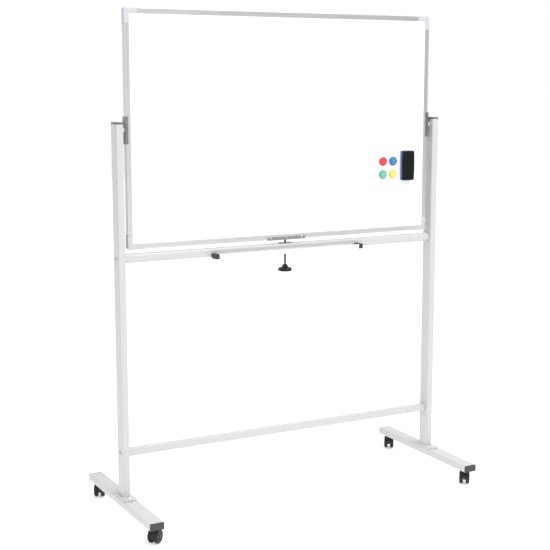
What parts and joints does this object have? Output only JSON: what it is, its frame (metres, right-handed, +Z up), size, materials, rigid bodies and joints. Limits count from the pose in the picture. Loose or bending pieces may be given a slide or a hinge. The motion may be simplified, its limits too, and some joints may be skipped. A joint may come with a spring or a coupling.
{
  "type": "rolling whiteboard",
  "caption": "Double-sided whiteboard that flips between two uprights on a wheeled steel stand, with a screw clamp, pen tray, magnets and eraser.",
  "frame": {"origin": "on the floor, midway between the uprights", "axes": "+X to the board's right seen from the front, -Y towards the person writing on the front, +Z up"},
  "size_m": [1.3128, 0.5842, 1.7254],
  "materials": {
    "aluminium": "satin anodised, drawn along the rail",
    "black_plastic": "black, satin",
    "blue_felt": "dense felt",
    "blue_plastic": "glossy",
    "brushed_steel": "pressed steel, zinc plated, dull",
    "caster_plastic": "black nylon, fine grain",
    "caster_rubber": "black polyurethane tread",
    "core": "light paper honeycomb, hidden inside the board",
    "dark_plastic": "charcoal, fine grain",
    "green_plastic": "glossy",
    "grey_plastic": "light grey moulded",
    "red_plastic": "glossy",
    "white_enamel": "glossy white dry-wipe coat on steel",
    "white_paint": "white powder coat, satin",
    "yellow_plastic": "glossy",
    "zinc": "zinc plated"
  },
  "bodies": {
    "root": {"upright_left": "white_paint", "upright_right": "white_paint", "foot_left": "white_paint", "foot_right": "white_paint", "base_plate_left": "white_paint", "base_plate_right": "white_paint", "crossbar_lower": "white_paint", "crossbar_upper": "white_paint", "pen_tray": "white_paint", "upright_cap_left": "dark_plastic", "upright_cap_right": "dark_plastic", "foot_cap_front_left": "dark_plastic", "foot_cap_front_right": "dark_plastic", "foot_cap_back_left": "dark_plastic", "foot_cap_back_right": "dark_plastic", "tray_cap_left": "dark_plastic", "tray_cap_right": "dark_plastic", "pivot_bush_left": "grey_plastic", "pivot_bush_right": "grey_plastic", "clamp_nut": "zinc", "caster_stem_front_left": "zinc", "caster_stem_front_right": "zinc", "caster_stem_back_left": "zinc", "caster_stem_back_right": "zinc"},
    "board": {"pivot_bracket_left": "zinc", "pivot_bracket_right": "zinc", "board_core": "core", "sheet_front": "white_enamel", "sheet_back": "white_enamel", "rail_right": "aluminium", "rail_top": "aluminium", "rail_left": "aluminium", "rail_bottom": "aluminium", "corner_top_right": "grey_plastic", "corner_top_left": "grey_plastic", "corner_bottom_left": "grey_plastic", "corner_bottom_right": "grey_plastic", "pivot_pin_left": "zinc", "pivot_pin_right": "zinc"},
    "clamp": {"clamp_channel": "brushed_steel"},
    "screw": {"clamp_rod": "zinc", "clamp_knob": "black_plastic"},
    "eraser": {"eraser_body": "black_plastic", "eraser_felt": "blue_felt"},
    "magnet_red": {"magnet_red": "red_plastic"},
    "magnet_blue": {"magnet_blue": "blue_plastic"},
    "magnet_green": {"magnet_green": "green_plastic"},
    "magnet_yellow": {"magnet_yellow": "yellow_plastic"},
    "swivel_front_left": {"caster_hood_front_left": "caster_plastic"},
    "wheel_a_front_left": {"wheel_a_front_left": "caster_rubber"},
    "wheel_b_front_left": {"wheel_b_front_left": "caster_rubber"},
    "swivel_front_right": {"caster_hood_front_right": "caster_plastic"},
    "wheel_a_front_right": {"wheel_a_front_right": "caster_rubber"},
    "wheel_b_front_right": {"wheel_b_front_right": "caster_rubber"},
    "swivel_back_left": {"caster_hood_back_left": "caster_plastic"},
    "wheel_a_back_left": {"wheel_a_back_left": "caster_rubber"},
    "wheel_b_back_left": {"wheel_b_back_left": "caster_rubber"},
    "swivel_back_right": {"caster_hood_back_right": "caster_plastic"},
    "wheel_a_back_right": {"wheel_a_back_right": "caster_rubber"},
    "wheel_b_back_right": {"wheel_b_back_right": "caster_rubber"}
  },
  "joints": [
    {"name": "board_flip", "type": "hinge", "parent": "root", "child": "board", "pos_m": [0, 0, 1.33], "axis": [1, 0, 0], "continuous": true},
    {"name": "clamp_lift", "type": "slide", "parent": "root", "child": "clamp", "axis": [0, 0, 1], "range_m": [-0.01, 0]},
    {"name": "knob_turn", "type": "hinge", "parent": "clamp", "child": "screw", "pos_m": [0, 0, 0.83], "axis": [0, 0, 1], "range_deg": [-2880, 0]},
    {"name": "swivel_turn_front_left", "type": "hinge", "parent": "root", "child": "swivel_front_left", "pos_m": [-0.6265, -0.255, 0.0538], "axis": [0, 0, 1], "continuous": true},
    {"name": "wheel_a_spin_front_left", "type": "hinge", "parent": "swivel_front_left", "child": "wheel_a_front_left", "pos_m": [-0.61731, -0.24729, 0.025], "axis": [-0.6428, 0.766, 0], "continuous": true},
    {"name": "wheel_b_spin_front_left", "type": "hinge", "parent": "swivel_front_left", "child": "wheel_b_front_left", "pos_m": [-0.61731, -0.24729, 0.025], "axis": [-0.6428, 0.766, 0], "continuous": true},
    {"name": "swivel_turn_front_right", "type": "hinge", "parent": "root", "child": "swivel_front_right", "pos_m": [0.6265, -0.255, 0.0538], "axis": [0, 0, 1], "continuous": true},
    {"name": "wheel_a_spin_front_right", "type": "hinge", "parent": "swivel_front_right", "child": "wheel_a_front_right", "pos_m": [0.63355, -0.24529, 0.025], "axis": [-0.809, 0.5878, 0], "continuous": true},
    {"name": "wheel_b_spin_front_right", "type": "hinge", "parent": "swivel_front_right", "child": "wheel_b_front_right", "pos_m": [0.63355, -0.24529, 0.025], "axis": [-0.809, 0.5878, 0], "continuous": true},
    {"name": "swivel_turn_back_left", "type": "hinge", "parent": "root", "child": "swivel_back_left", "pos_m": [-0.6265, 0.255, 0.0538], "axis": [0, 0, 1], "continuous": true},
    {"name": "wheel_a_spin_back_left", "type": "hinge", "parent": "swivel_back_left", "child": "wheel_a_back_left", "pos_m": [-0.62087, 0.2656, 0.025], "axis": [-0.8829, 0.4695, 0], "continuous": true},
    {"name": "wheel_b_spin_back_left", "type": "hinge", "parent": "swivel_back_left", "child": "wheel_b_back_left", "pos_m": [-0.62087, 0.2656, 0.025], "axis": [-0.8829, 0.4695, 0], "continuous": true},
    {"name": "swivel_turn_back_right", "type": "hinge", "parent": "root", "child": "swivel_back_right", "pos_m": [0.6265, 0.255, 0.0538], "axis": [0, 0, 1], "continuous": true},
    {"name": "wheel_a_spin_back_right", "type": "hinge", "parent": "swivel_back_right", "child": "wheel_a_back_right", "pos_m": [0.63355, 0.26471, 0.025], "axis": [-0.809, 0.5878, 0], "continuous": true},
    {"name": "wheel_b_spin_back_right", "type": "hinge", "parent": "swivel_back_right", "child": "wheel_b_back_right", "pos_m": [0.63355, 0.26471, 0.025], "axis": [-0.809, 0.5878, 0], "continuous": true},
    {"name": "magnet_red_lift", "type": "slide", "parent": "board", "child": "magnet_red", "axis": [0, -1, 0], "range_m": [0, 0.05]},
    {"name": "magnet_blue_lift", "type": "slide", "parent": "board", "child": "magnet_blue", "axis": [0, -1, 0], "range_m": [0, 0.05]},
    {"name": "magnet_green_lift", "type": "slide", "parent": "board", "child": "magnet_green", "axis": [0, -1, 0], "range_m": [0, 0.05]},
    {"name": "magnet_yellow_lift", "type": "slide", "parent": "board", "child": "magnet_yellow", "axis": [0, -1, 0], "range_m": [0, 0.05]},
    {"name": "eraser_lift", "type": "slide", "parent": "board", "child": "eraser", "axis": [0, -1, 0], "range_m": [0, 0.05]}
  ],
  "couplings": [
    {"joint": "clamp_lift", "follows": "knob_turn", "m_per_rad": 0.00019894}
  ]
}
